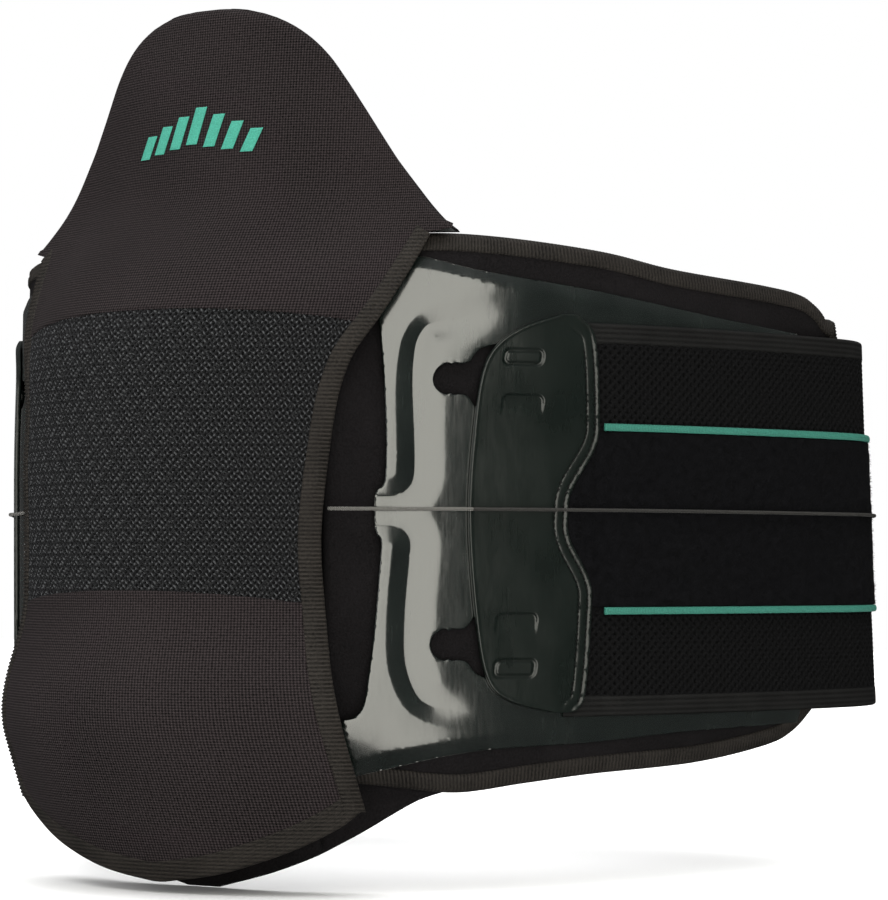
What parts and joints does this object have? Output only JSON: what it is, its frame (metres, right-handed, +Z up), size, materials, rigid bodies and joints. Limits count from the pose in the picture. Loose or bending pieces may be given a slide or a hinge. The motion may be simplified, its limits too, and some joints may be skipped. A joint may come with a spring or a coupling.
{
  "type": "lumbar back brace",
  "caption": "Rigid-backed lumbar brace, closed as worn: padded bell-shaped back panel, plastic side plates drawn in by cord and pulleys, hooked belt arms and front closure.",
  "frame": {"origin": "centre of the opening for the torso, on the waist plane that lies 2.5 mm below the tension cord", "axes": "+Z up along the spine, +Y to the wearer's front, +X to the wearer's right seen from behind"},
  "size_m": [0.4174, 0.383, 0.3785],
  "materials": {
    "pad_foam_fabric": "brushed lining over foam",
    "cover_knit": "fine warp knit, warm grey brown",
    "cover_mesh": "openwork zigzag mesh",
    "edge_tape": "ribbed woven edge tape",
    "motif_thread": "satin stitched thread",
    "side_plastic": "glossy moulded, very dark green",
    "tab_plastic": "satin gloss moulded, very dark green",
    "panel_plastic": "matte thermoformed sheet",
    "pulley_plastic": "natural acetal",
    "pin_steel": "turned steel",
    "belt_mesh": "spacer mesh with rows of round holes",
    "loop_pile": "brushed loop pile",
    "hook_pile": "moulded hook sheet",
    "piping_teal": "woven piping",
    "cord_braid": "braided cord"
  },
  "bodies": {
    "back": {"back_pad": "pad_foam_fabric", "back_panel": "panel_plastic", "cover_upper": "cover_knit", "cover_mesh": "cover_mesh", "cover_lower": "cover_knit", "cover_binding": "edge_tape", "back_motif": "motif_thread", "tension_lacing": "cord_braid"},
    "right_side": {"right_plate": "side_plastic", "right_wing_pad": "pad_foam_fabric", "right_wing_binding": "edge_tape", "right_pulley_carrier": "panel_plastic", "right_pulley_pins": "pin_steel", "right_cord_inner": "cord_braid"},
    "right_pulley_upper": {"right_pulley_upper": "pulley_plastic"},
    "right_pulley_lower": {"right_pulley_lower": "pulley_plastic"},
    "right_arm": {"right_tab": "tab_plastic", "right_strap_mesh": "belt_mesh", "right_loop": "loop_pile", "right_piping": "piping_teal", "right_strap_binding": "edge_tape", "right_cord_outer": "cord_braid"},
    "right_front": {"right_front_mesh": "belt_mesh", "right_front_loop": "loop_pile", "right_front_piping": "piping_teal", "right_front_binding": "edge_tape", "right_closure_hook": "hook_pile", "right_cord_front": "cord_braid"},
    "right_pull": {"right_pull_handle": "tab_plastic", "right_handle_hook": "hook_pile"},
    "left_side": {"left_plate": "side_plastic", "left_wing_pad": "pad_foam_fabric", "left_wing_binding": "edge_tape", "left_pulley_carrier": "panel_plastic", "left_pulley_pins": "pin_steel", "left_cord_inner": "cord_braid"},
    "left_pulley_upper": {"left_pulley_upper": "pulley_plastic"},
    "left_pulley_lower": {"left_pulley_lower": "pulley_plastic"},
    "left_arm": {"left_tab": "tab_plastic", "left_strap_mesh": "belt_mesh", "left_loop": "loop_pile", "left_piping": "piping_teal", "left_strap_binding": "edge_tape", "left_cord_outer": "cord_braid"},
    "left_front": {"left_front_mesh": "belt_mesh", "left_front_loop": "loop_pile", "left_front_piping": "piping_teal", "left_front_binding": "edge_tape", "left_cord_front": "cord_braid"},
    "left_pull": {"left_pull_handle": "tab_plastic", "left_handle_hook": "hook_pile"}
  },
  "joints": [
    {"name": "right_tighten", "type": "slide", "parent": "back", "child": "right_side", "axis": [-0.9397, -0.342, 0], "range_m": [0, 0.01], "deforming": ["tension_lacing"]},
    {"name": "right_pulley_upper_spin", "type": "hinge", "parent": "right_side", "child": "right_pulley_upper", "pos_m": [0.04707, -0.16822, 0.03], "axis": [0.3962, -0.9182, 0], "range_deg": [0, 150]},
    {"name": "right_pulley_lower_spin", "type": "hinge", "parent": "right_side", "child": "right_pulley_lower", "pos_m": [0.04707, -0.16898, -0.035], "axis": [0.3962, -0.9182, 0], "range_deg": [0, 150]},
    {"name": "right_release", "type": "slide", "parent": "right_side", "child": "right_arm", "axis": [1, 0, 0], "range_m": [0, 0.025]},
    {"name": "right_open", "type": "hinge", "parent": "right_arm", "child": "right_front", "pos_m": [0.18552, 0.15136, 0], "axis": [0, 0, -1], "range_deg": [0, 60]},
    {"name": "right_pull", "type": "slide", "parent": "right_front", "child": "right_pull", "axis": [-0.8829, 0.4695, 0], "range_m": [0, 0.04]},
    {"name": "left_tighten", "type": "slide", "parent": "back", "child": "left_side", "axis": [0.9397, -0.342, 0], "range_m": [0, 0.01]},
    {"name": "left_pulley_upper_spin", "type": "hinge", "parent": "left_side", "child": "left_pulley_upper", "pos_m": [-0.04707, -0.16822, 0.03], "axis": [-0.3962, -0.9182, 0], "range_deg": [0, 150]},
    {"name": "left_pulley_lower_spin", "type": "hinge", "parent": "left_side", "child": "left_pulley_lower", "pos_m": [-0.04707, -0.16898, -0.035], "axis": [-0.3962, -0.9182, 0], "range_deg": [0, 150]},
    {"name": "left_release", "type": "slide", "parent": "left_side", "child": "left_arm", "axis": [-1, 0, 0], "range_m": [0, 0.025]},
    {"name": "left_open", "type": "hinge", "parent": "left_arm", "child": "left_front", "pos_m": [-0.18552, 0.15136, 0], "axis": [0, 0, 1], "range_deg": [0, 27]},
    {"name": "left_pull", "type": "slide", "parent": "left_front", "child": "left_pull", "axis": [0.8829, 0.4695, 0], "range_m": [0, 0.04]}
  ],
  "couplings": [
    {"joint": "right_pulley_upper_spin", "follows": "right_tighten", "rad_per_m": 250},
    {"joint": "right_pulley_lower_spin", "follows": "right_tighten", "rad_per_m": 250},
    {"joint": "right_pull", "follows": "right_tighten", "ratio": 4},
    {"joint": "left_pulley_upper_spin", "follows": "right_tighten", "rad_per_m": 250},
    {"joint": "left_pulley_lower_spin", "follows": "right_tighten", "rad_per_m": 250},
    {"joint": "left_pull", "follows": "right_tighten", "ratio": 4},
    {"joint": "left_tighten", "follows": "right_tighten", "ratio": 1},
    {"joint": "left_open", "follows": "right_open", "ratio": 0.45}
  ]
}
